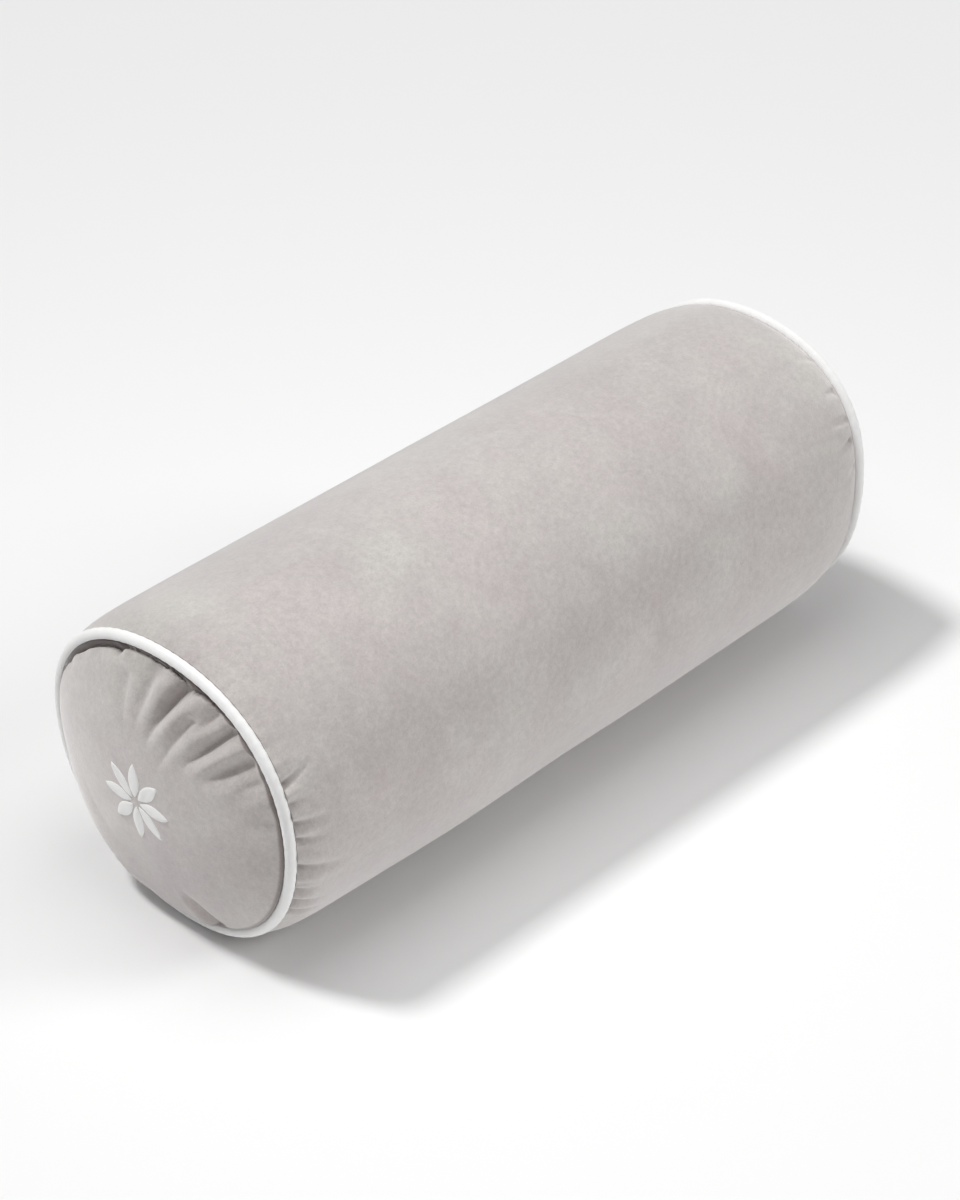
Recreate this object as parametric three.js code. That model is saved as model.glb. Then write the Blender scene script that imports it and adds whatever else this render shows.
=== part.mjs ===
// Round bolster cushion: a filled velvet barrel, a round velvet panel gathered into each end, and a
// covered piping cord sewn into both end seams. Millimetres, +Z up, resting on z = 0. The barrel lies
// along X with its near end towards -X, and the origin is on the ground under its middle. Angles are in
// degrees round the barrel's axis, from +Y over the top to -Y at 180 and the underside at 270.
import * as THREE from 'three';
import { ParametricGeometry } from 'three/addons/geometries/ParametricGeometry.js';

// Driving dimensions
const barrelRadius = 101.6; // clear of the seams
const seamRadius = 93; // to the middle of the piping
const seamToSeam = 491;
const pipingRadius = 3.3;
const domeRise = 26; // how far an end panel bulges past its seam
const domeFullness = 0.7; // 1 is a shallow bowl, less is fuller at the rim
const groundPress = 3.6; // how far the ground flattens the underside
const gap = 0.3; // between neighbouring pieces

// Shape of an end seam, which the filling and the weight pull out of a flat circle
const seamLean = 4.8; // the top stands out by this much and the bottom tucks in
const seamSaddle = 0.8; // the sides stand out, the top and bottom tuck in
const seamSag = 1.5; // three soft corners, one of them at the bottom
const seamSquare = 1; // four flats, at the top, the bottom and the sides

// Shoulder of the barrel: it leaves the piping a little outside the seam and fills out over a short run
const shoulderLift = 2.5;
const shoulderRun = 9;

// Derived sizes
const axisHeight = barrelRadius - groundPress;
const seamOut = seamToSeam / 2;
const grooveRadius = pipingRadius + gap;
const shoulderStart = Math.sqrt(grooveRadius ** 2 - shoulderLift ** 2);

// Columns of points round the bolster stand close over the gathered stretch and wider elsewhere
const columns = 96;
const gatheredFrom = 62;
const gatheredTo = 214;
const gatheredShare = 0.64;

// Rows of points, by distance from the seam along the barrel or in towards an end panel's middle
const barrelRows = [5, 8, 12, 17, 24, 33, 46, 70, 130];
const panelRows = [4, 6, 9, 13, 18, 25, 34, 45, 60, 76];

// Gathers and puckers. Each row is one trough: its angle at the seam, half its width, its depth, how
// far it runs from the seam, and how far round it has turned by then. A negative depth is a puff: the
// low one on the near panel swells out over the piping and hides it from above.
const nearGathers = [
  { at: 70, half: 48, depth: 3, reach: 10, turn: 0 },
  { at: 35, half: 4.5, depth: 1.4, reach: 10, turn: 0 },
  { at: 47, half: 4.5, depth: 1.6, reach: 11, turn: 0 },
  { at: 58, half: 4.5, depth: 1.2, reach: 11, turn: 0 },
  { at: 68.5, half: 4, depth: 3.5, reach: 15, turn: -2 },
  { at: 74, half: 5, depth: 1.8, reach: 46, turn: -9 },
  { at: 87, half: 4.5, depth: 3, reach: 40, turn: -6 },
  { at: 101.5, half: 5, depth: 7.5, reach: 46, turn: -2 },
  { at: 109, half: 6, depth: 4, reach: 10, turn: 0 },
  { at: 119, half: 3.5, depth: 2.6, reach: 27, turn: 5 },
  { at: 127.5, half: 3.8, depth: 4, reach: 37, turn: 2 },
  { at: 138, half: 4.5, depth: 2.2, reach: 28, turn: 2 },
  { at: 148, half: 4, depth: 1.2, reach: 20, turn: 0 },
  { at: 250, half: 8, depth: 4, reach: 36, turn: 7 },
  { at: 285, half: 8, depth: 1.5, reach: 18, turn: 0 },
  { at: 300, half: 60, depth: -4, reach: 30, turn: 0 },
];
const farGathers = [
  { at: 96, half: 50, depth: 2.4, reach: 10, turn: 0 },
  { at: 60, half: 4.5, depth: 2, reach: 30, turn: -4 },
  { at: 72, half: 4.5, depth: 3.2, reach: 38, turn: -3 },
  { at: 84, half: 4, depth: 2.4, reach: 26, turn: 0 },
  { at: 95, half: 5, depth: 4.6, reach: 42, turn: 2 },
  { at: 108, half: 4.5, depth: 2.6, reach: 34, turn: 5 },
  { at: 120, half: 4, depth: 3.4, reach: 36, turn: 3 },
  { at: 131, half: 4.5, depth: 2, reach: 24, turn: 0 },
  { at: 144, half: 4, depth: 1.4, reach: 18, turn: 0 },
];
const nearPuckers = [
  { at: 118, half: 3, depth: 0.8, reach: 12, turn: -1 },
  { at: 153.5, half: 2.6, depth: 1.8, reach: 22, turn: -3 },
  { at: 160, half: 2.8, depth: 1.2, reach: 24, turn: 1 },
  { at: 166.5, half: 2.8, depth: 1.4, reach: 26, turn: 2 },
  { at: 173, half: 2.6, depth: 1.6, reach: 20, turn: 3 },
  { at: 185.5, half: 4, depth: 1.7, reach: 34, turn: 5 },
  { at: 196.5, half: 2.8, depth: 1, reach: 16, turn: 1 },
  { at: 202, half: 2.6, depth: 1, reach: 22, turn: 3 },
  { at: 208.5, half: 3, depth: 1.2, reach: 26, turn: 4 },
];
const farPuckers = [
  { at: 121, half: 3, depth: 0.8, reach: 16, turn: -2 },
  { at: 136, half: 3, depth: 1, reach: 18, turn: -1 },
  { at: 147, half: 2.8, depth: 1.3, reach: 22, turn: -1 },
  { at: 155, half: 3, depth: 1.8, reach: 26, turn: 0 },
  { at: 165, half: 3, depth: 1, reach: 18, turn: 2 },
];

// Materials
const velvet = new THREE.MeshStandardMaterial({ color: 0xc5bfbb, roughness: 0.95, metalness: 0 });
const whiteCotton = new THREE.MeshStandardMaterial({ color: 0xf4f3f1, roughness: 0.8, metalness: 0 });

const { cos, sin, exp, abs, max, min, sqrt, PI } = Math;
const radians = (degrees) => (degrees * PI) / 180;

// Angle of the column at a fraction of the way round
function angleAt(fraction) {
  const rest = fraction - gatheredShare;
  if (rest < 0) {
    return gatheredFrom + ((gatheredTo - gatheredFrom) * fraction) / gatheredShare;
  }
  return gatheredTo + ((360 + gatheredFrom - gatheredTo) * rest) / (1 - gatheredShare);
}

// Middle of the piping at an angle: its distance out from the barrel's middle, and from the axis
function seamAt(angle) {
  const a = radians(angle);
  return {
    out: seamOut + seamLean * sin(a) + seamSaddle * cos(2 * a),
    radius: seamRadius + seamSag * sin(3 * a) - seamSquare * cos(4 * a),
  };
}

// Point on one side (-1 near, 1 far), pressed flat where it would sink into the ground
function place(side, angle, radius, out) {
  const a = radians(angle);
  return new THREE.Vector3(side * out, radius * cos(a), max(axisHeight + radius * sin(a), 0));
}

// Point on a circle round the middle of the piping. At a turn of 0 degrees it lies straight out along
// the axis, at 90 away from the axis and at -90 towards it.
function roundPiping(side, circle, turn) {
  return (angle) => {
    const seam = seamAt(angle);
    const t = radians(turn);
    return place(side, angle, seam.radius + circle * sin(t), seam.out + circle * cos(t));
  };
}

// Depth of the troughs in a table at an angle and a distance from the seam: across, a trough is one
// wave of a cosine, and along, it starts at the seam, deepens at once and runs out at its reach
function troughDepth(table, angle, distance) {
  let depth = 0;
  for (const trough of table) {
    const along = distance / trough.reach;
    const turned = angle - trough.at - trough.turn * along;
    const across = abs(((turned + 540) % 360) - 180) / trough.half;
    if (along < 1 && across < 1) {
      const profile = (1 + cos(PI * across)) / 2;
      depth += trough.depth * profile * (1 - along ** 2) * min(distance / 5, 1);
    }
  }
  return depth;
}

// Barrel's skin at a distance along it from the seam
function barrelSkin(side, puckers, distance) {
  return (angle) => {
    const seam = seamAt(angle);
    const drawnIn = barrelRadius - seam.radius - shoulderLift;
    const filled = barrelRadius - drawnIn * exp((shoulderStart - distance) / shoulderRun);
    return place(side, angle, filled - troughDepth(puckers, angle, distance), seam.out - distance);
  };
}

// End panel's skin at a distance in from the seam: a dome over the seam's curve, with the troughs
// pressed in square to the dome
function panelSkin(side, gathers, distance) {
  return (angle) => {
    const seam = seamAt(angle);
    const share = 1 - distance / seam.radius;
    const bowl = 1 - share ** 2;
    const rise = domeRise * bowl ** domeFullness;
    const slope = (2 * share * domeFullness * rise) / (bowl * seam.radius);
    const pressed = troughDepth(gathers, angle, distance) / sqrt(1 + slope ** 2);
    const base = seamOut + (seam.out - seamOut) * share;
    const out = max(base + rise - pressed, base + gap + 1);
    return place(side, angle, seam.radius - distance - slope * pressed, out);
  };
}

// Point on the axis, at the middle of an end face or at the top of a dome
function onAxis(side, out) {
  return () => place(side, 0, 0, out);
}

// Closed skin over rows of points, from -X to +X: a single point closes each end, and a ring's last
// row repeats its first
function skinMesh(name, rows, material) {
  const surface = (u, v, target) => {
    const row = rows[Math.round(v * (rows.length - 1))];
    target.copy(row(angleAt(u)));
  };
  const geometry = new ParametricGeometry(surface, columns, rows.length - 1);
  geometry.computeVertexNormals();
  const mesh = new THREE.Mesh(geometry, material);
  mesh.name = name;
  return mesh;
}

// One half of the barrel, from the middle of its end face round the piping and along the skin
function barrelHalf(side, puckers) {
  const faceTurn = radians(90) + Math.asin(gap / 2 / grooveRadius);
  const groove = [(-faceTurn * 180) / PI, -120, -150, -180, -210, -224];
  return [
    onAxis(side, seamOut - gap / 2),
    ...groove.map((turn) => roundPiping(side, grooveRadius, turn)),
    ...barrelRows.map((distance) => barrelSkin(side, puckers, distance)),
  ];
}

function makeBarrel() {
  const middle = (angle) => place(1, angle, barrelRadius, 0);
  const rows = [...barrelHalf(-1, nearPuckers), middle, ...barrelHalf(1, farPuckers).reverse()];
  return skinMesh('barrel', rows, velvet);
}

// End panel, from the top of its dome to its rim, under the piping and back over its inner face
function makeEndPanel(name, side, gathers) {
  const faceTurn = radians(90) - Math.asin(gap / 2 / grooveRadius);
  const groove = [-44, -66, (-faceTurn * 180) / PI];
  const rows = [
    onAxis(side, seamOut + domeRise),
    ...panelRows.map((distance) => panelSkin(side, gathers, distance)).reverse(),
    ...groove.map((turn) => roundPiping(side, grooveRadius, turn)),
    onAxis(side, seamOut + gap / 2),
  ];
  return skinMesh(name, side < 0 ? rows : rows.reverse(), velvet);
}

function makePiping(name, side) {
  const turns = [0, 45, 90, 135, 180, 225, 270, 315, 360];
  const rows = turns.map((turn) => roundPiping(side, pipingRadius, turn));
  return skinMesh(name, side < 0 ? rows : rows.reverse(), whiteCotton);
}

const bolster = new THREE.Group();
bolster.add(
  makeBarrel(),
  makeEndPanel('end_panel_near', -1, nearGathers),
  makeEndPanel('end_panel_far', 1, farGathers),
  makePiping('piping_near', -1),
  makePiping('piping_far', 1),
);

export default bolster;
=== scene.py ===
import bpy
import numpy as np
from mathutils import Matrix, Vector


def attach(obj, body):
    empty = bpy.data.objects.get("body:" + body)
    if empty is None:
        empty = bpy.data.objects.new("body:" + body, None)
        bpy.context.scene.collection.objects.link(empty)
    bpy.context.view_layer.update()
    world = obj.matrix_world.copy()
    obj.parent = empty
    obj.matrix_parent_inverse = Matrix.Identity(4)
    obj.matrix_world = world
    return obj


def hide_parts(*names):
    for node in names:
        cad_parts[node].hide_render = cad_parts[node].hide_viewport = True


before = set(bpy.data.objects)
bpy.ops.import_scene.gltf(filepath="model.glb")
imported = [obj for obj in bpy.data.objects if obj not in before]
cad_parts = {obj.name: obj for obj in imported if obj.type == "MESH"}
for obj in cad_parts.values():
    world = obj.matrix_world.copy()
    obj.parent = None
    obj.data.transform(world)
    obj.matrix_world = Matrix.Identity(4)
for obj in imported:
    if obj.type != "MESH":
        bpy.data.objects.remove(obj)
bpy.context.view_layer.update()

MM = 0.001

# Driving dimensions, those of the frame
BARREL_RADIUS = 101.6 * MM
SEAM_RADIUS = 93 * MM
SEAM_TO_SEAM = 491 * MM
PIPING_RADIUS = 3.3 * MM
DOME_RISE = 26 * MM
DOME_FULLNESS = 0.7
GROUND_PRESS = 3.6 * MM
GAP = 0.3 * MM
SEAM_LEAN = 4.8 * MM
SEAM_SADDLE = 0.8 * MM
SEAM_SAG = 1.5 * MM
SEAM_SQUARE = 1 * MM

# Shoulder of the barrel at the near end (-1) and the far end (1): how far outside the seam's middle it
# leaves the piping, and the run over which it fills out. The far one is drawn in further.
SHOULDERS = {-1: (2.5 * MM, 9 * MM), 1: (0.3 * MM, 14 * MM)}

# Flatter stretch of the far seam: angle, half width in degrees and depth
FAR_FLAT_AT, FAR_FLAT_HALF, FAR_FLAT_DEPTH = 172, 26, 3.1 * MM

AXIS_HEIGHT = BARREL_RADIUS - GROUND_PRESS
SEAM_OUT = SEAM_TO_SEAM / 2
GROOVE_RADIUS = PIPING_RADIUS + GAP

# Grid of points: columns round the bolster stand close over the gathered stretch
COLUMNS = 240
GATHERED = (62.0, 214.0)
GATHERED_SHARE = 0.64
BARREL_ROWS = 50
PANEL_ROWS = 42

# Folds that run in from an end seam, each row one fold: angle of its valley at the seam, half width,
# depth, where it starts and where it ends as distances from the seam, and the turn by then. Degrees and
# millimetres.
NEAR_GATHERS = [
    (35, 3.2, 1.2, 0, 12, 0), (47, 3.4, 1.4, 0, 13, 0), (58, 3.4, 1.3, 0, 13, 0),
    (69.5, 2.2, 4.6, 0, 11, -1), (78, 4, 1.8, 12, 54, -9), (91.5, 5, 4.6, 0, 50, -11),
    (107.5, 3.8, 9.5, 0, 54, -15), (122.5, 2.8, 4, 0, 26, -2), (117, 3.2, 3.2, 14, 66, -4),
    (130.5, 3, 8, 0, 52, -2), (142.5, 3.8, 5.6, 0, 46, 0), (150.5, 3.2, 3.6, 0, 26, 1),
    (166.5, 4, 2, 0, 20, 0), (249.5, 2.8, 4.4, 0, 36, 6), (285, 6, 1.2, 0, 18, 0),
]
FAR_GATHERS = [
    (60, 3.8, 2, 0, 30, -4), (72, 3.8, 3.2, 0, 38, -3), (84, 3.6, 2.4, 0, 26, 0),
    (95, 4.2, 5.6, 0, 46, 2), (108, 3.8, 3.2, 0, 38, 5), (120, 3.6, 4.4, 0, 40, 3),
    (131, 3.8, 2.6, 0, 28, 0), (144, 3.6, 1.6, 0, 20, 0),
]
# Broad swells of a panel near its seam: angle, half width, depth and reach. A negative depth stands out.
NEAR_SWELLS = [(70, 50, 1.2, 13), (300, 60, -4, 30)]
FAR_SWELLS = [(96, 50, 2.4, 10)]
# Puckers of the barrel beside a seam: angle, half width, depth, reach and turn. A negative depth stands
# out.
NEAR_PUCKERS = [
    (92, 3, 0.9, 12, 0), (97, 3, -0.8, 12, 0), (104, 3.4, 1, 14, -1), (109.5, 3, -0.9, 14, -1),
    (118, 3, 1.5, 15, -1), (123.5, 3, -1, 14, -1), (129, 3, 1.1, 14, -1), (136, 4, -0.9, 16, -1),
    (141, 3, 1, 14, -2), (147, 3.4, -1.2, 18, -2), (153.5, 3, 3.8, 27, -4),
    (157.2, 3, -2, 24, -2), (160.5, 2.8, 2.2, 26, 0), (164, 3, -2.4, 30, 2), (167.5, 2.6, 2.6, 30, 2),
    (170.5, 2.6, -1.8, 26, 2), (173.5, 2.6, 2.8, 24, 3), (180, 4, -1.6, 26, 3), (185.5, 4, 3.2, 38, 5),
    (190.5, 3.4, -1.4, 24, 3), (196.5, 2.8, 2, 20, 1), (199.5, 2.6, -1.2, 20, 2), (202.5, 2.6, 2, 26, 3),
    (205.5, 2.6, -1.2, 22, 3), (208.5, 3, 2.2, 30, 4),
]
FAR_PUCKERS = [
    (121, 3, 1.2, 18, -2), (136, 3, 1.5, 20, -1), (147, 2.8, 2, 24, -1), (155, 3, 2.8, 28, 0),
    (165, 3, 1.5, 20, 2),
]

# Places where the filling pushes the barrel out: angle, station along the barrel from its middle,
# height, half width in degrees and half length in millimetres
BULGES = [
    (222, -95, 1.9, 34, 75), (222, 40, 0.9, 30, 60), (50, 60, -0.6, 40, 140),
]

# Recess between a panel's edge and its piping, where the gathering thread pulls the cloth under: angle
# and width in millimetres. Teeth make its edge ragged, with their spacing and width in degrees. It is
# shallower where it is narrower than its full width.
RECESS_WIDTHS = [
    (0, 0), (14, 0.2), (24, 1.1), (34, 1.8), (44, 2.3), (65, 2.3), (68, 4.2), (71, 1.6), (74, 1),
    (96, 1), (101, 2.4), (107, 3.4), (112, 1.6), (124, 0.7), (150, 0.4), (170, 0), (360, 0),
]
RECESS_DEPTH = 7 * MM
RECESS_FULL_WIDTH = 1.5 * MM
TEETH, TEETH_SHARE = 90, 0.6
TEETH_SPACING, TEETH_WIDTH = (1.6, 3.8), (0.5, 1.1)

# A fold's section: its valley is wider on the side that leans over than on the side it leans against,
# and a ridge stands beside it there
LEAN_WIDE, LEAN_NARROW = 1.5, 1.25
VALLEY_FALL, VALLEY_ROUND = 2, 0.35
RIDGE_SHARE, RIDGE_AT, RIDGE_WIDTH = 0.25, 2.1, 1

# A pucker's section: its valley as a share of its stated half width, the swell beside it, and how far
# both spread
PUCKER_NARROW, PUCKER_RIM, PUCKER_SPREAD = 0.55, 0.7, 1.4

# Along their length, swells, folds and puckers deepen over a step, and folds and puckers die away
SWELL_STEP, FOLD_STEP, PUCKER_STEP = 5 * MM, 6 * MM, 3.5 * MM
FOLD_FADE_FROM, PUCKER_FADE = 0.35, 1.3

# Shade painted where cloth is tucked away, since the mesh's own shadow is too light there: all of it in
# the recess and under the piping, and a share of it beside the piping and in folds and puckers. The
# depths are those between which the shade comes in.
PAINTED_SHADE_COLOUR = (0.26, 0.2, 0.19)
FOLD_PAINTED_SHADE, PUCKER_PAINTED_SHADE, SEAM_PAINTED_SHADE = 0.22, 0.27, 0.8
RECESS_SHADED, FOLD_SHADED, PUCKER_SHADED = (1 * MM, 4 * MM), (2 * MM, 9 * MM), (0.8 * MM, 3 * MM)
SEAM_SHADED = 1.6 * MM

# Filling, for the cloth simulation: a cover starts smaller than its full shape by the underfill, which
# comes in over a run from the seam on the barrel. The pressure moves it little from there.
PRESSURE = 4.0
BARREL_UNDERFILL, UNDERFILL_RUN = 0.3 * MM, 20 * MM
BARREL_CAP = 5 * MM
PANEL_UNDERFILL = 2.5 * MM
PANEL_CAP = 7 * MM
CLOTH_FRAMES = 20
CLOTH_QUALITY, CLOTH_MASS, CLOTH_STIFFNESS = 6, 0.3, 0.4
CLOTH_TOUCH = 0.03 * MM

# Lumps of the filling: plane waves in each, and on the barrel and the panels their height, size and
# the run from the seam over which they come in
LUMP_WAVES = 8
BARREL_LUMPS = (0.4 * MM, 90 * MM, 30 * MM)
PANEL_LUMPS = (0.3 * MM, 50 * MM, 20 * MM)

# Rows of points: how strongly they crowd towards the seam, where a panel's rows begin and end, the
# rows on the barrel under the piping, and the turns of those on a panel past its inner face
BARREL_CROWDING, PANEL_CROWDING = 1.8, 1.6
PANEL_FIRST, PANEL_LAST = 3, 88
BARREL_GROOVE_ROWS = 6
PANEL_GROOVE_TURNS = (-66, -44)

# Piping's surface: rows round it, the waver in its thickness and that waver's length, and the height
# and number of its small puckers
PIPING_ROWS = 24
WAVER, WAVER_LENGTH = 0.16 * MM, 40 * MM
COVER_PUCKER, COVER_PUCKERS = 0.07 * MM, 87

# Sewn motif on the near end
PETALS = 8
PETAL_FROM = 3.5 * MM
PETAL_TO = 26 * MM
PETAL_HALF_WIDTH = 4.2 * MM
PETAL_FULLNESS = 0.8
PETAL_ROWS, PETAL_COLUMNS = 40, 15
PETAL_TIP = 0.02
STITCH_RISE = 0.7 * MM
STITCH_END_SLOPE = 4
STITCH_ROOT = 0.25 * MM
MOTIF_Y, MOTIF_Z = 7 * MM, -3 * MM

# Photo's viewpoint
CAMERA_AT = (-1.2844, -1.2062, 1.2966)
CAMERA_AZIMUTH, CAMERA_ELEVATION = 43.2, 34.2
CAMERA_LENS = 108

# Lights: a soft key high on the +Y side and towards the near end, a weaker one low on the side seen, a
# soft box overhead and an even fill. Directions point towards the light.
KEY_FROM, KEY_SOFTNESS, KEY_STRENGTH = (-0.29, 0.42, 1), 9, 1.68
SIDE_FROM, SIDE_SOFTNESS, SIDE_STRENGTH = (0.6, -0.65, 0.5), 20, 0.82
BOX_AT, BOX_SIZE, BOX_POWER = (-0.12, -0.12, 1.1), 0.6, 3.0
FILL_STRENGTH = 0.25
FLOOR_HALF, FLOOR_COLOUR = 30, (0.92, 0.92, 0.92, 1)

# Colour ramps of the finishes: position and colour. A velvet colour is its shade times its grain, its
# tint and a painted shade where the cloth is tucked away, and the grain is a mixture of clumps and
# tufts.
VELVET_SHADES = [(0.3, (0.478, 0.432, 0.43)), (0.5, (0.532, 0.494, 0.48)), (0.7, (0.585, 0.56, 0.53))]
VELVET_GRAIN = [(0.36, (0.84, 0.84, 0.84)), (0.64, (1.06, 1.06, 1.06))]
VELVET_TINTS = [(0.36, (0.972, 0.985, 0.968)), (0.64, (1.004, 0.972, 0.984))]
# Painted shade ramp: no change at 0, the painted shade's darker colour at 1
VELVET_PAINTED_SHADE = [(0, (1, 1, 1)), (1, PAINTED_SHADE_COLOUR)]
CLUMP_SHARE, TUFT_SHARE = 0.6, 0.4
COTTON_SHADES = [(0.3, (0.92, 0.915, 0.905)), (0.7, (0.96, 0.96, 0.955))]


def columns_round():
    """Angles of the columns: evenly spaced within the gathered stretch and evenly spaced outside it."""
    first, last = GATHERED
    inside = int(COLUMNS * GATHERED_SHARE)
    fine = np.linspace(first, last, inside, endpoint=False)
    coarse = np.linspace(last, first + 360, COLUMNS - inside, endpoint=False)
    return np.concatenate([fine, coarse])


def seam_at(side, angle):
    """Middle of the piping: distance out is a sine for the lean plus a double-angle cosine for the
    saddle, and radius is a triple-angle sine for the sag less a fourfold cosine for the flats, less a
    bell curve for the far seam's flatter stretch."""
    a = np.radians(angle)
    out = SEAM_OUT + SEAM_LEAN * np.sin(a) + SEAM_SADDLE * np.cos(2 * a)
    radius = SEAM_RADIUS + SEAM_SAG * np.sin(3 * a) - SEAM_SQUARE * np.cos(4 * a)
    if side > 0:
        across = ((angle - FAR_FLAT_AT + 540) % 360 - 180) / FAR_FLAT_HALF
        radius = radius - FAR_FLAT_DEPTH * np.exp(-(across**2))
    return out, radius


def place(side, angle, radius, out):
    """Points from cylinder coordinates, pressed flat where they would sink into the ground."""
    a = np.radians(angle)
    out, radius, a = np.broadcast_arrays(out, radius, a)
    height = np.maximum(AXIS_HEIGHT + radius * np.sin(a), 0)
    return np.stack([side * out, radius * np.cos(a), height], -1)


def round_piping(side, angle, circle, turn):
    """Points on a circle round the piping's middle: turn 0 lies straight out along the axis, and a
    quarter turn away from it."""
    out, radius = seam_at(side, angle)
    t = np.radians(turn)
    return place(side, angle, radius + circle * np.sin(t), out + circle * np.cos(t))


def swell_depth(table, angle, distance):
    """Sum over the table of one wave of a cosine across the angle times a parabola along the distance,
    which starts at the seam and deepens over a first step."""
    depth = np.zeros(np.broadcast(angle, distance).shape)
    for at, half, deep, reach in table:
        along = distance / (reach * MM)
        across = np.minimum(np.abs((angle - at + 540) % 360 - 180) / half, 1)
        wave = (1 + np.cos(np.pi * across)) / 2
        fade = np.where(along < 1, 1 - along**2, 0) * np.minimum(distance / SWELL_STEP, 1)
        depth += deep * MM * wave * fade
    return depth


def fold_depth(table, angle, distance):
    """Sum over the table of a leaning fold: across it, an exponential valley with a rounded bottom,
    wider on one side, less a bell beside it, and along it, a smooth step in and a smooth fall to
    nothing at the reach."""
    depth = np.zeros(np.broadcast(angle, distance).shape)
    for at, half, deep, start, reach, turn in table:
        along = distance / (reach * MM)
        across = ((angle - at - turn * along + 540) % 360 - 180) / half
        leaning = across / np.where(across < 0, LEAN_WIDE, LEAN_NARROW)
        valley = np.exp(-VALLEY_FALL * (np.sqrt(leaning**2 + VALLEY_ROUND**2) - VALLEY_ROUND))
        ridge = RIDGE_SHARE * np.exp(-(((across - RIDGE_AT) / RIDGE_WIDTH) ** 2))
        begun = smooth(start * MM, start * MM + FOLD_STEP, distance)
        fade = begun * (1 - smooth(FOLD_FADE_FROM, 1, along))
        depth += deep * MM * (valley - ridge) * fade
    return depth


def crease_depth(table, angle, distance):
    """Sum over the table of a pucker: a narrow valley with a soft swell on both sides of it, which is a
    bell curve times one less a share of the distance squared, and along it, a smooth step in and a
    power's fall to nothing at the reach."""
    depth = np.zeros(np.broadcast(angle, distance).shape)
    for at, half, deep, reach, turn in table:
        along = distance / (reach * MM)
        across = ((angle - at - turn * along + 540) % 360 - 180) / (half * PUCKER_NARROW)
        hat = (1 - PUCKER_RIM * across**2) * np.exp(-(across**2) / PUCKER_SPREAD)
        fade = np.maximum(1 - along, 0) ** PUCKER_FADE
        depth += deep * MM * hat * fade * smooth(0, PUCKER_STEP, distance)
    return depth


def bulge_height(angle, station):
    """Sum over the bulges of a bell curve across the angle and along the barrel."""
    height = 0
    for at, along, high, wide, long in BULGES:
        across = ((angle - at + 540) % 360 - 180) / wide
        height = height + high * MM * np.exp(-(across**2) - ((station - along * MM) / (long * MM)) ** 2)
    return height


def recess_depth(seed, angle, distance):
    """Recess beside the piping: a quarter circle's profile that ends at the recess's width, the width
    being the table's at each angle, made larger and smaller by bells at seeded uneven spacings."""
    draw = np.random.default_rng(seed)
    at, width = np.array(RECESS_WIDTHS).T
    teeth = 0
    for centre in np.cumsum(draw.uniform(*TEETH_SPACING, TEETH)):
        size = draw.uniform(-1, 1)
        teeth = teeth + size * np.exp(-(((angle - centre) / draw.uniform(*TEETH_WIDTH)) ** 2))
    wide = np.interp(angle % 360, at, width) * MM * (1 + TEETH_SHARE * teeth)
    along = np.minimum(distance / (PIPING_RADIUS + wide), 1)
    return RECESS_DEPTH * np.minimum(wide / RECESS_FULL_WIDTH, 1) * np.sqrt(1 - along**2)


def lumps(seed, angle, distance, size):
    """Soft unevenness of the filling: a few plane waves of seeded random directions and phases over the
    unrolled skin, with wavelengths near the given size. It runs from -1 to 1."""
    draw = np.random.default_rng(seed)
    a = np.radians(angle)
    total = 0
    for _ in range(LUMP_WAVES):
        turns = draw.integers(1, max(2, int(2 * np.pi * BARREL_RADIUS / size)))
        pitch = 2 * np.pi / size * draw.uniform(-1, 1)
        total = total + np.sin(turns * a + pitch * distance + draw.uniform(0, 2 * np.pi))
    return total / LUMP_WAVES


def smooth(low, high, value):
    """Smooth step from 0 at one value to 1 at the other: three squares less two cubes."""
    share = np.clip((value - low) / (high - low), 0, 1)
    return share**2 * (3 - 2 * share)


def shoulder_start(side):
    """Distance from the seam at which the barrel leaves the piping: the other leg of the triangle that
    the lift makes with the piping's groove."""
    return np.sqrt(GROOVE_RADIUS**2 - SHOULDERS[side][0] ** 2)


def barrel_skin(side, angle, distance):
    """Barrel radius less a shoulder that dies away exponentially with distance from the seam."""
    out, radius = seam_at(side, angle)
    lift, run = SHOULDERS[side]
    drawn_in = BARREL_RADIUS - radius - lift
    filled = BARREL_RADIUS - drawn_in * np.exp((shoulder_start(side) - distance) / run)
    return place(side, angle, filled, out - distance)


def panel_skin(side, angle, distance, dome_rise=DOME_RISE, depth=0):
    """Dome that rises as a power of one less the share of the radius squared, pressed in square to it by
    a depth."""
    out, radius = seam_at(side, angle)
    share = 1 - distance / radius
    bowl = 1 - share**2
    rise = dome_rise * bowl**DOME_FULLNESS
    slope = 2 * share * DOME_FULLNESS * rise / (bowl * radius)
    pressed = depth / np.sqrt(1 + slope**2)
    base = SEAM_OUT + (out - SEAM_OUT) * share
    dome = np.maximum(base + rise - pressed, base + GAP)
    return place(side, angle, radius - distance - slope * pressed, dome)


def between(values):
    """Values of twice as fine a grid of rows: each old row, and the mean of each pair."""
    finer = np.empty((2 * len(values) - 1, *values.shape[1:]))
    finer[::2] = values
    finer[1::2] = (values[1:] + values[:-1]) / 2
    return finer


def finer_angles(angle):
    """Angles of twice as many columns, halfway between neighbours, the last one being next to the
    first a full turn on."""
    after = np.append(angle[1:], angle[0] + 360)
    return np.stack([angle, (angle + after) / 2], -1).ravel()


def finer_moves(moves):
    """Moves of twice as fine a grid: means of neighbours in both directions, then smoothed with
    weights 1, 2, 1, with the held first and last rows left as they are."""
    rows = between(moves)
    both = np.empty((rows.shape[0], 2 * rows.shape[1], 3))
    both[:, ::2] = rows
    both[:, 1::2] = (rows + np.roll(rows, -1, 1)) / 2
    both = (np.roll(both, 1, 1) + 2 * both + np.roll(both, -1, 1)) / 4
    both[1:-1] = (both[:-2] + 2 * both[1:-1] + both[2:]) / 4
    return both


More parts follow.
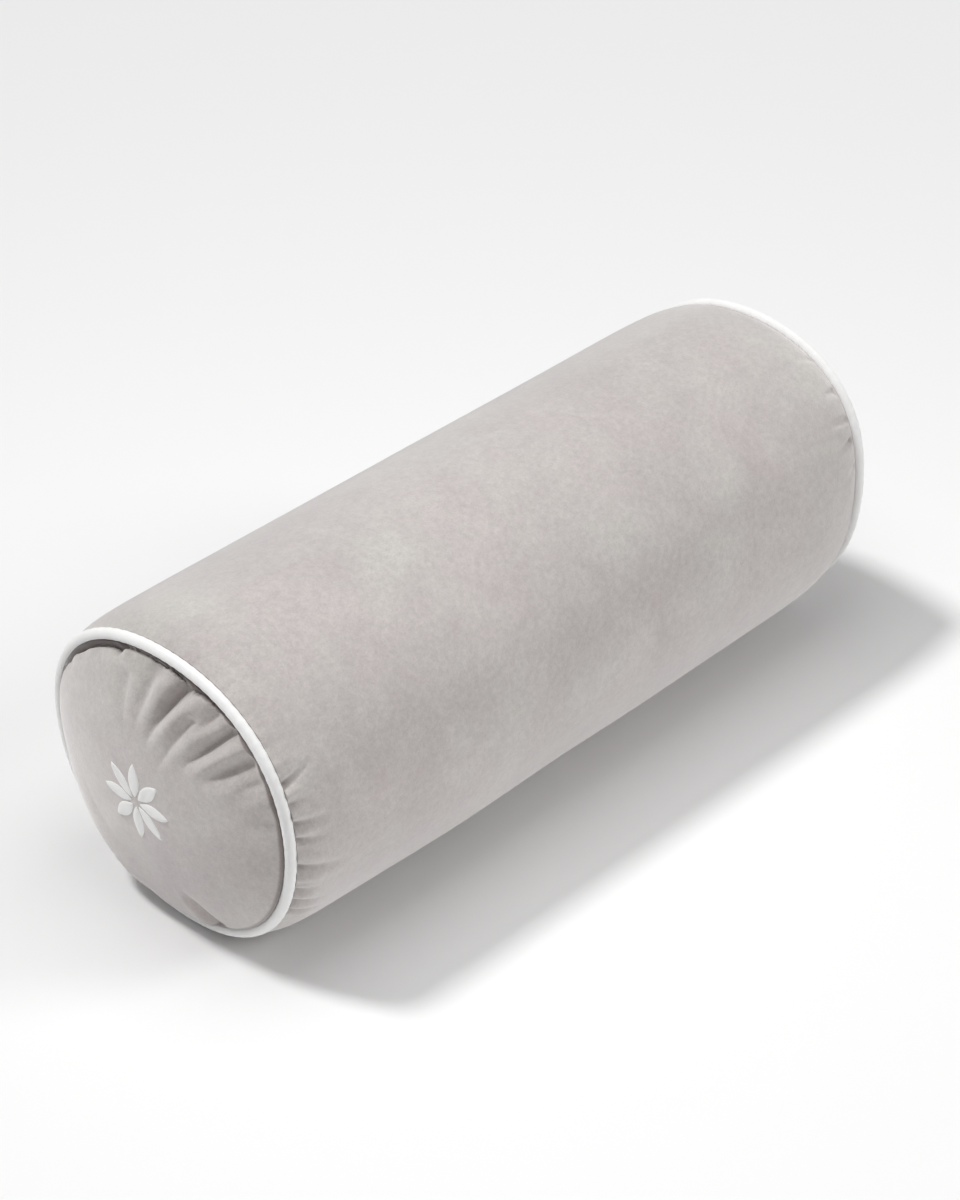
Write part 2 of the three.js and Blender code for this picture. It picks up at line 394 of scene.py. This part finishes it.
def grid_normals(points):
    """Unit normals of a grid that is closed round its columns: the cross product of its two
    central differences."""
    round_it = np.roll(points, -1, 1) - np.roll(points, 1, 1)
    along = np.gradient(points, axis=0)
    normal = np.cross(round_it, along)
    return normal / np.maximum(np.linalg.norm(normal, axis=-1, keepdims=True), 1e-12)


def skin_faces(rows, columns):
    """Quads between neighbouring rows of a grid closed round its columns, and a fan of triangles from
    a point before the first row and from a point after the last."""
    column = np.arange(columns)
    after = (column + 1) % columns
    start = np.arange(rows - 1)[:, None] * columns
    below = start + columns
    quads = np.stack([start + column, start + after, below + after, below + column], -1)
    first, last = rows * columns, rows * columns + 1
    lid = np.stack([after, column, np.full(columns, first)], -1)
    end = (rows - 1) * columns
    floor = np.stack([end + column, end + after, np.full(columns, last)], -1)
    return quads.reshape(-1, 4).tolist() + lid.tolist() + floor.tolist()


def new_mesh(name, points, faces):
    """Mesh object at the origin from flat arrays of points and faces, with its faces turned outwards."""
    mesh = bpy.data.meshes.new(name)
    mesh.from_pydata(points.reshape(-1, 3).tolist(), [], faces)
    mesh.update()
    corners = np.empty(len(mesh.loops), int)
    mesh.loops.foreach_get("vertex_index", corners)
    flat = points.reshape(-1, 3)
    sizes = np.empty(len(mesh.polygons), int)
    starts = np.empty(len(mesh.polygons), int)
    mesh.polygons.foreach_get("loop_total", sizes)
    mesh.polygons.foreach_get("loop_start", starts)
    a, b, c = (flat[corners[starts + k]] for k in range(3))
    d = flat[corners[starts + sizes - 1]]
    volume = np.einsum("ij,ij->i", a, np.cross(b, c)).sum()
    volume += np.where(sizes == 4, np.einsum("ij,ij->i", a, np.cross(c, d)), 0).sum()
    if volume < 0:
        mesh.flip_normals()
    piece = bpy.data.objects.new(name, mesh)
    bpy.context.scene.collection.objects.link(piece)
    return piece


def inflate(points, faces, held, cap):
    """Cloth under inner pressure, held at some points. Its result is how far each point moved, eased by
    a hyperbolic tangent so that no point passes the cap."""
    flat = points.reshape(-1, 3)
    trial = new_mesh("filling_trial", points, faces)
    pins = trial.vertex_groups.new(name="held")
    pins.add(np.flatnonzero(held).tolist(), 1.0, "REPLACE")
    cloth = trial.modifiers.new("Cloth", "CLOTH")
    cloth.point_cache.frame_start = 1
    cloth.point_cache.frame_end = CLOTH_FRAMES
    settings = cloth.settings
    settings.quality = CLOTH_QUALITY
    settings.mass = CLOTH_MASS
    settings.bending_stiffness = CLOTH_STIFFNESS
    settings.use_pressure = True
    settings.uniform_pressure_force = PRESSURE
    settings.vertex_group_mass = "held"
    settings.effector_weights.gravity = 0
    scene = bpy.context.scene
    for step in range(1, CLOTH_FRAMES + 1):
        scene.frame_set(step)
    moved = trial.evaluated_get(bpy.context.evaluated_depsgraph_get()).to_mesh()
    after = np.empty(len(flat) * 3)
    moved.vertices.foreach_get("co", after)
    scene.frame_set(1)
    bpy.data.objects.remove(trial)
    move = after.reshape(-1, 3) - flat
    length = np.maximum(np.linalg.norm(move, axis=1, keepdims=True), 1e-9)
    return move / length * cap * np.tanh(length / cap)


def barrel_skin_at(angle, station):
    """Barrel's skin at a station, the distance along the barrel from its middle: each half is measured
    from its own seam, whose lean fades with distance so that the halves meet squarely."""
    distance = SEAM_OUT - np.abs(station)
    near, far = (barrel_skin(side, angle, distance) for side in (-1, 1))
    points = np.where(station[..., None] < 0, near, far)
    lean = np.abs(points[..., 0]) - distance_out(distance)
    points[..., 0] = np.sign(station) * (distance_out(distance) + lean * (1 - distance / SEAM_OUT))
    return points


def distance_out(distance):
    """Distance from the barrel's middle of a place that lies a distance in from an upright seam."""
    return SEAM_OUT - distance


def fill_out(full, start, ends, held, cap):
    """Moves of a finer grid from its full shape, and the moves of the two end points: what the filling
    does to the smaller start, added to the step from the full shape down to that start."""
    count, columns = start.shape[:2]
    everything = np.concatenate([start.reshape(-1, 3), ends])
    moves = inflate(everything, skin_faces(count, columns), held, cap)
    skin = moves[:-2].reshape(start.shape) + start - full
    return finer_moves(skin), moves[-2:]


def make_barrel():
    """Velvet tube: the barrel's skin, moved by its filling, with the puckers of both seams and the
    filling's bulges and lumps laid on it, and closed inside the seams."""
    angle = columns_round()[None, :]
    spread = 1 - np.linspace(0, 1, BARREL_ROWS) ** BARREL_CROWDING
    near_half, far_half = ((SEAM_OUT - shoulder_start(side)) * spread for side in (-1, 1))
    station = np.concatenate([-near_half, far_half[-2::-1]])[:, None]

    full = barrel_skin_at(angle, station)
    inset = BARREL_UNDERFILL * np.minimum((SEAM_OUT - np.abs(station)) / UNDERFILL_RUN, 1)
    start = full - grid_normals_out(full) * inset[..., None]
    count, columns = start.shape[:2]
    ends = np.array([[-SEAM_OUT, 0, AXIS_HEIGHT], [SEAM_OUT, 0, AXIS_HEIGHT]])
    held = np.zeros(start[..., 0].size + 2, bool)
    held[:columns] = held[(count - 1) * columns : count * columns] = True
    moves = fill_out(full, start, ends, held, BARREL_CAP)[0]

    fine_angle, fine_station = finer_angles(angle[0])[None, :], between(station)
    distance = SEAM_OUT - np.abs(fine_station)
    points = barrel_skin_at(fine_angle, fine_station) + moves
    normal = grid_normals_out(points)
    near = crease_depth(NEAR_PUCKERS, fine_angle, distance)
    far = crease_depth(FAR_PUCKERS, fine_angle, np.maximum(distance - shoulder_start(1), 0))
    high, size, run = BARREL_LUMPS
    calm = np.minimum(distance / run, 1)
    uneven = bulge_height(fine_angle, fine_station) + high * lumps(3, fine_angle, fine_station, size)
    uneven = uneven * calm
    points = points + normal * (uneven - np.where(fine_station < 0, near, far))[..., None]
    points[..., 2] = np.maximum(points[..., 2], 0)
    near_groove, far_groove = (barrel_groove(side, fine_angle[0]) for side in (-1, 1))
    # Painted shade: a share of it in the puckers' valleys, and all of it on the rows under the piping
    painted_shade = PUCKER_PAINTED_SHADE * smooth(*PUCKER_SHADED, np.where(fine_station < 0, near, far))
    closed = np.ones_like(near_groove[..., 0])
    painted_shade = np.concatenate([closed, painted_shade[1:-1], closed])
    points = np.concatenate([near_groove, points[1:-1], far_groove[::-1]])
    ends = np.array([[-(SEAM_OUT - GAP / 2), 0, AXIS_HEIGHT], [SEAM_OUT - GAP / 2, 0, AXIS_HEIGHT]])
    return finish_skin("barrel_cover", points, ends, painted_shade)


def barrel_groove(side, angle):
    """Barrel's rows under the piping, from its end face round to where its skin leaves the piping."""
    face_turn = 90 + np.degrees(np.arcsin(GAP / 2 / GROOVE_RADIUS))
    leaving = 180 + np.degrees(np.arcsin(SHOULDERS[side][0] / GROOVE_RADIUS))
    turns = np.linspace(face_turn, leaving, BARREL_GROOVE_ROWS)
    return np.stack([round_piping(side, angle, PIPING_RADIUS + CLOTH_TOUCH, -turn) for turn in turns])


def grid_normals_out(points):
    """Grid normals that point away from the barrel's axis."""
    normal = grid_normals(points)
    away = points - np.array([0, 0, AXIS_HEIGHT])
    away[..., 0] = 0
    flip = np.sign(np.einsum("...i,...i->...", normal, away))
    return normal * np.where(flip == 0, 1, flip)[..., None]


def make_panel(name, side, gathers, swells, seed):
    """Round end panel: the dome moved by the filling, and then its gathers, the recess beside the piping
    and the filling's lumps."""
    angle = columns_round()[None, :]
    spread = np.linspace(0, 1, PANEL_ROWS) ** PANEL_CROWDING
    distance = (PANEL_FIRST * MM + (PANEL_LAST - PANEL_FIRST) * MM * spread)[:, None]
    full = panel_skin(side, angle, distance)
    low = panel_skin(side, angle, distance, DOME_RISE - PANEL_UNDERFILL)
    top = np.array([[side * (SEAM_OUT + DOME_RISE), 0, AXIS_HEIGHT]])
    inner = np.array([[side * (SEAM_OUT + GAP / 2), 0, AXIS_HEIGHT]])
    low_top = top - np.array([[side * PANEL_UNDERFILL, 0, 0]])
    held = np.zeros(full[..., 0].size + 2, bool)
    held[: full.shape[1]] = True
    held[-2] = True
    moves, end_moves = fill_out(full, low, np.concatenate([inner, low_top]), held, PANEL_CAP)
    top = low_top + end_moves[-1:]

    fine_angle, fine_distance = finer_angles(angle[0])[None, :], between(distance)
    depth = fold_depth(gathers, fine_angle, fine_distance)
    depth = depth + swell_depth(swells, fine_angle, fine_distance)
    recess = recess_depth(seed, fine_angle, fine_distance)
    # Painted shade: all of it in the recess, a share of it in the folds' valleys and beside the piping
    painted_shade = np.maximum(smooth(*RECESS_SHADED, recess), FOLD_PAINTED_SHADE * smooth(*FOLD_SHADED, depth))
    clear = smooth(PIPING_RADIUS, PIPING_RADIUS + SEAM_SHADED, fine_distance)
    painted_shade = np.maximum(painted_shade, SEAM_PAINTED_SHADE * (1 - clear))
    depth = depth + recess
    points = panel_skin(side, fine_angle, fine_distance, depth=depth) + moves
    normal = grid_normals(points)
    normal *= side * np.sign(normal[..., 0].mean())
    high, size, run = PANEL_LUMPS
    calm = np.minimum(fine_distance / run, 1)
    uneven = high * lumps(seed + 1, fine_angle, fine_distance, size) * calm
    points = points + normal * uneven[..., None]
    points[..., 2] = np.maximum(points[..., 2], 0)
    face_turn = 90 - np.degrees(np.arcsin(GAP / 2 / GROOVE_RADIUS))
    turns = (-face_turn, *PANEL_GROOVE_TURNS)
    groove = np.stack([round_piping(side, fine_angle[0], GROOVE_RADIUS, turn) for turn in turns])
    # Painted shade: all of it on the rows under the piping
    painted_shade = np.concatenate([np.ones_like(groove[..., 0]), painted_shade])
    return finish_skin(name, np.concatenate([groove, points]), np.concatenate([inner, top]), painted_shade)


def make_piping(name, side):
    """Covered cord: a circle carried round the seam, with a shallow seeded waver in its thickness and
    a sine wave of small puckers."""
    angle = finer_angles(columns_round())[None, :]
    turn = np.linspace(0, 360, PIPING_ROWS, endpoint=False)[:, None]
    puckers = COVER_PUCKER * np.sin(np.radians(angle * COVER_PUCKERS))
    waver = WAVER * lumps(11 + side, angle, 0, WAVER_LENGTH) + puckers
    out, radius = seam_at(side, angle)
    t = np.radians(turn)
    circle = PIPING_RADIUS + waver
    points = place(side, angle, radius + circle * np.sin(t), out + circle * np.cos(t))
    rows, columns = points.shape[:2]
    column, row = np.arange(columns), np.arange(rows)[:, None]
    after, below = (column + 1) % columns, (row + 1) % rows
    here, there = row * columns, below * columns
    quads = np.stack([here + column, here + after, there + after, there + column], -1)
    piece = new_mesh(name, points, quads.reshape(-1, 4).tolist())
    piece.data.shade_smooth()
    return piece


def finish_skin(name, grid, ends, painted_shade):
    """Closed smooth-shaded mesh from a grid and the two points that close its first and last row, with
    the share of painted shade at each point, painted where its cloth is tucked away."""
    rows, columns = grid.shape[:2]
    piece = new_mesh(name, np.concatenate([grid.reshape(-1, 3), ends]), skin_faces(rows, columns))
    piece.data.shade_smooth()
    # Share of painted shade at each point, which darkens the velvet's colour
    share = piece.data.attributes.new("painted_shade", "FLOAT", "POINT")
    share.data.foreach_set("value", np.append(painted_shade.ravel(), [0, 0]).astype(np.float32))
    return piece


def make_motif(panel):
    """Eight satin-stitched petals round a small gap: each petal is a grid along and across it, its half
    width a sine along the petal, laid on the panel and then raised by the stitches' rounded section."""
    steps = np.linspace(0, 1, PETAL_ROWS), np.linspace(-1, 1, PETAL_COLUMNS)
    along, across = np.meshgrid(*steps, indexing="ij")
    reach = PETAL_FROM + (PETAL_TO - PETAL_FROM) * along
    inside = np.clip(along, PETAL_TIP, 1 - PETAL_TIP)
    width = PETAL_HALF_WIDTH * np.sin(np.pi * inside) ** PETAL_FULLNESS * across
    spin = np.radians(np.arange(PETALS) * 360 / PETALS)[:, None, None]
    y = MOTIF_Y + reach * np.cos(spin) - width * np.sin(spin)
    z = AXIS_HEIGHT + MOTIF_Z + reach * np.sin(spin) + width * np.cos(spin)
    flat = np.stack([np.full_like(y, -SEAM_OUT - 2 * DOME_RISE), y, z], -1)
    rows, columns = along.shape
    row, column = np.arange(rows - 1)[:, None], np.arange(columns - 1)
    first = row * columns + column
    quad = np.stack([first, first + 1, first + columns + 1, first + columns], -1).reshape(-1, 4)
    each = np.arange(PETALS)[:, None, None] * rows * columns
    faces = (quad + each).reshape(-1, 4).tolist()
    mesh = bpy.data.meshes.new("stitched_rosette")
    mesh.from_pydata(flat.reshape(-1, 3).tolist(), [], faces)
    piece = bpy.data.objects.new("stitched_rosette", mesh)
    bpy.context.scene.collection.objects.link(piece)
    wrap = piece.modifiers.new("on_the_panel", "SHRINKWRAP")
    wrap.target = panel
    wrap.wrap_method = "PROJECT"
    wrap.use_project_x = True
    wrap.use_project_y = wrap.use_project_z = False
    wrap.use_positive_direction = True
    wrap.use_negative_direction = False
    laid = piece.evaluated_get(bpy.context.evaluated_depsgraph_get()).to_mesh()
    points = np.empty(flat.size)
    laid.vertices.foreach_get("co", points)
    piece.modifiers.clear()
    points = points.reshape(PETALS, rows, columns, 3)
    ends = np.minimum(1, np.sin(np.pi * along) * STITCH_END_SLOPE)
    edge = np.sqrt(np.clip(1 - across**2, 0, 1)) * ends
    points[..., 0] -= STITCH_RISE * edge
    under = points.copy()
    under[..., 0] += STITCH_RISE * edge + STITCH_ROOT
    bottom = (quad[:, ::-1] + each + PETALS * rows * columns).reshape(-1, 4).tolist()
    ring = np.concatenate(
        [np.arange(columns), np.arange(1, rows) * columns + columns - 1,
         (rows - 1) * columns + np.arange(columns - 2, -1, -1), np.arange(rows - 2, 0, -1) * columns]
    )
    after = np.roll(ring, -1)
    lower = PETALS * rows * columns
    wall = np.stack([after, ring, ring + lower, after + lower], -1)
    walls = (wall + each).reshape(-1, 4).tolist()
    bpy.data.objects.remove(piece)
    both = np.concatenate([points.reshape(-1, 3), under.reshape(-1, 3)])
    piece = new_mesh("stitched_rosette", both, faces + bottom + walls)
    piece.data.shade_smooth()
    return piece


def add(tree, kind, **inputs):
    """Node of a kind with its sockets set by name, each to a value or another node's socket."""
    made = tree.nodes.new(kind)
    for name, value in inputs.items():
        socket = made.inputs[name.replace("_", " ")]
        if isinstance(value, bpy.types.NodeSocket):
            tree.links.new(value, socket)
        else:
            socket.default_value = value
    return made


def ramp(tree, factor, stops):
    """Colour ramp over a factor with stops of position and colour."""
    made = add(tree, "ShaderNodeValToRGB", Fac=factor)
    elements = made.color_ramp.elements
    while len(elements) < len(stops):
        elements.new(0.5)
    for element, (position, colour) in zip(elements, stops):
        element.position = position
        element.color = (*colour, 1)
    return made.outputs["Color"]


def multiplied(tree, first, second):
    """Product of two colours."""
    mix = tree.nodes.new("ShaderNodeMix")
    mix.data_type = "RGBA"
    mix.blend_type = "MULTIPLY"
    mix.inputs["Factor"].default_value = 1
    tree.links.new(first, mix.inputs[6])
    tree.links.new(second, mix.inputs[7])
    return mix.outputs[2]


def blank(name):
    """Empty node material, its tree and its principled shader."""
    material = bpy.data.materials.new(name)
    material.use_nodes = True
    tree = material.node_tree
    return material, tree, tree.nodes["Principled BSDF"]


def velvet_finish():
    """Short pile: light and dark patches tens of millimetres wide, a fine grain of clumps and tufts,
    blots of a greenish and a mauve tint, a painted shade where the cloth is tucked away, a soft sheen
    where the pile is seen side on, and a bump of single tufts."""
    material, tree, shader = blank("velvet_pile")
    where = tree.nodes.new("ShaderNodeTexCoord").outputs["Object"]
    noise = "ShaderNodeTexNoise"
    patches = add(tree, noise, Vector=where, Scale=17.0, Detail=7.0, Roughness=0.68, Distortion=0.5)
    clumps = add(tree, noise, Vector=where, Scale=260.0, Detail=3.0, Roughness=0.7)
    tufts = add(tree, noise, Vector=where, Scale=900.0, Detail=2.0, Roughness=0.6)
    shade = ramp(tree, patches.outputs["Fac"], VELVET_SHADES)
    mixed = tree.nodes.new("ShaderNodeMath")
    mixed.operation = "MULTIPLY_ADD"
    mixed.inputs[1].default_value = CLUMP_SHARE
    tree.links.new(clumps.outputs["Fac"], mixed.inputs[0])
    fine = tree.nodes.new("ShaderNodeMath")
    fine.operation = "MULTIPLY"
    fine.inputs[1].default_value = TUFT_SHARE
    tree.links.new(tufts.outputs["Fac"], fine.inputs[0])
    tree.links.new(fine.outputs[0], mixed.inputs[2])
    grain = ramp(tree, mixed.outputs[0], VELVET_GRAIN)
    blots = add(tree, noise, Vector=where, Scale=11.0, Detail=5.0, Roughness=0.65)
    tint = ramp(tree, blots.outputs["Fac"], VELVET_TINTS)
    # Painted shade: the colour darkened by the share painted where the cloth is tucked away
    share = tree.nodes.new("ShaderNodeAttribute")
    share.attribute_name = "painted_shade"
    painted_shade = ramp(tree, share.outputs["Fac"], VELVET_PAINTED_SHADE)
    colour = shade
    for layer in (grain, tint, painted_shade):
        colour = multiplied(tree, colour, layer)
    tree.links.new(colour, shader.inputs["Base Color"])
    bump = add(tree, "ShaderNodeBump", Strength=0.25, Distance=0.0006, Height=tufts.outputs["Fac"])
    tree.links.new(bump.outputs["Normal"], shader.inputs["Normal"])
    shader.inputs["Roughness"].default_value = 0.95
    shader.inputs["Specular IOR Level"].default_value = 0.1
    shader.inputs["Sheen Weight"].default_value = 1.0
    shader.inputs["Sheen Roughness"].default_value = 0.6
    shader.inputs["Sheen Tint"].default_value = (1, 0.98, 0.97, 1)
    return material


def cotton_finish(name, scale):
    """White cotton: a fine noise in its bump for the threads, and a faint warm variation in colour."""
    material, tree, shader = blank(name)
    where = tree.nodes.new("ShaderNodeTexCoord").outputs["Object"]
    warm = add(tree, "ShaderNodeTexNoise", Vector=where, Scale=60.0, Detail=3.0)
    threads = add(tree, "ShaderNodeTexNoise", Vector=where, Scale=scale, Detail=2.0)
    colour = ramp(tree, warm.outputs["Fac"], COTTON_SHADES)
    tree.links.new(colour, shader.inputs["Base Color"])
    bump = add(tree, "ShaderNodeBump", Strength=0.3, Distance=0.0004, Height=threads.outputs["Fac"])
    tree.links.new(bump.outputs["Normal"], shader.inputs["Normal"])
    shader.inputs["Roughness"].default_value = 0.85
    shader.inputs["Specular IOR Level"].default_value = 0.2
    shader.inputs["Sheen Weight"].default_value = 0.15
    return material


def make_camera():
    """Camera at the photo's viewpoint, looking down the elevation along the azimuth."""
    az, el = np.radians(CAMERA_AZIMUTH), np.radians(CAMERA_ELEVATION)
    forward = Vector((np.cos(el) * np.cos(az), np.cos(el) * np.sin(az), -np.sin(el)))
    right = Vector((np.sin(az), -np.cos(az), 0))
    turn = Matrix((right, right.cross(forward), -forward)).transposed()
    data = bpy.data.cameras.new("photo_camera")
    data.sensor_width = 36
    data.lens = CAMERA_LENS
    camera = bpy.data.objects.new("photo_camera", data)
    camera.matrix_world = Matrix.Translation(CAMERA_AT) @ turn.to_4x4()
    bpy.context.scene.collection.objects.link(camera)
    bpy.context.scene.camera = camera


def make_studio():
    """Pale floor, soft key, side light, soft box overhead and even fill."""
    size = FLOOR_HALF
    corners = [(-size, -size, 0), (size, -size, 0), (size, size, 0), (-size, size, 0)]
    mesh = bpy.data.meshes.new("floor")
    mesh.from_pydata(corners, [], [(0, 1, 2, 3)])
    floor = bpy.data.objects.new("floor", mesh)
    bpy.context.scene.collection.objects.link(floor)
    material, _, shader = blank("floor_paper")
    shader.inputs["Base Color"].default_value = FLOOR_COLOUR
    shader.inputs["Roughness"].default_value = 1
    shader.inputs["Specular IOR Level"].default_value = 0
    mesh.materials.append(material)
    suns = [
        ("key", KEY_FROM, KEY_SOFTNESS, KEY_STRENGTH),
        ("side", SIDE_FROM, SIDE_SOFTNESS, SIDE_STRENGTH),
    ]
    for name, towards, softness, strength in suns:
        data = bpy.data.lights.new(name, "SUN")
        data.angle = np.radians(softness)
        data.energy = strength
        sun = bpy.data.objects.new(name, data)
        sun.rotation_euler = Vector(towards).to_track_quat("Z", "Y").to_euler()
        bpy.context.scene.collection.objects.link(sun)
    data = bpy.data.lights.new("soft_box", "AREA")
    data.size = BOX_SIZE
    data.energy = BOX_POWER
    box = bpy.data.objects.new("soft_box", data)
    box.location = BOX_AT
    bpy.context.scene.collection.objects.link(box)
    world = bpy.data.worlds.new("fill")
    world.use_nodes = True
    background = world.node_tree.nodes["Background"]
    background.inputs["Color"].default_value = (1, 1, 1, 1)
    background.inputs["Strength"].default_value = FILL_STRENGTH
    bpy.context.scene.world = world
    bpy.context.scene.view_settings.view_transform = "Standard"


def dress(piece, material, node=None):
    """Gives a piece its finish, hangs it under the root body and hides the CAD part it stands for, if
    any.
    """
    piece.data.materials.append(material)
    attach(piece, "root")
    if node:
        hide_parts(node)


make_camera()
make_studio()
velvet = velvet_finish()
piping_cotton = cotton_finish("piping_cotton", 1400.0)
stitch_cotton = cotton_finish("stitch_cotton", 2200.0)
dress(make_barrel(), velvet, "barrel")
near_panel = make_panel("end_cover_near", -1, NEAR_GATHERS, NEAR_SWELLS, 21)
dress(near_panel, velvet, "end_panel_near")
far_panel = make_panel("end_cover_far", 1, FAR_GATHERS, FAR_SWELLS, 31)
dress(far_panel, velvet, "end_panel_far")
dress(make_piping("piping_cover_near", -1), piping_cotton, "piping_near")
dress(make_piping("piping_cover_far", 1), piping_cotton, "piping_far")
dress(make_motif(near_panel), stitch_cotton)
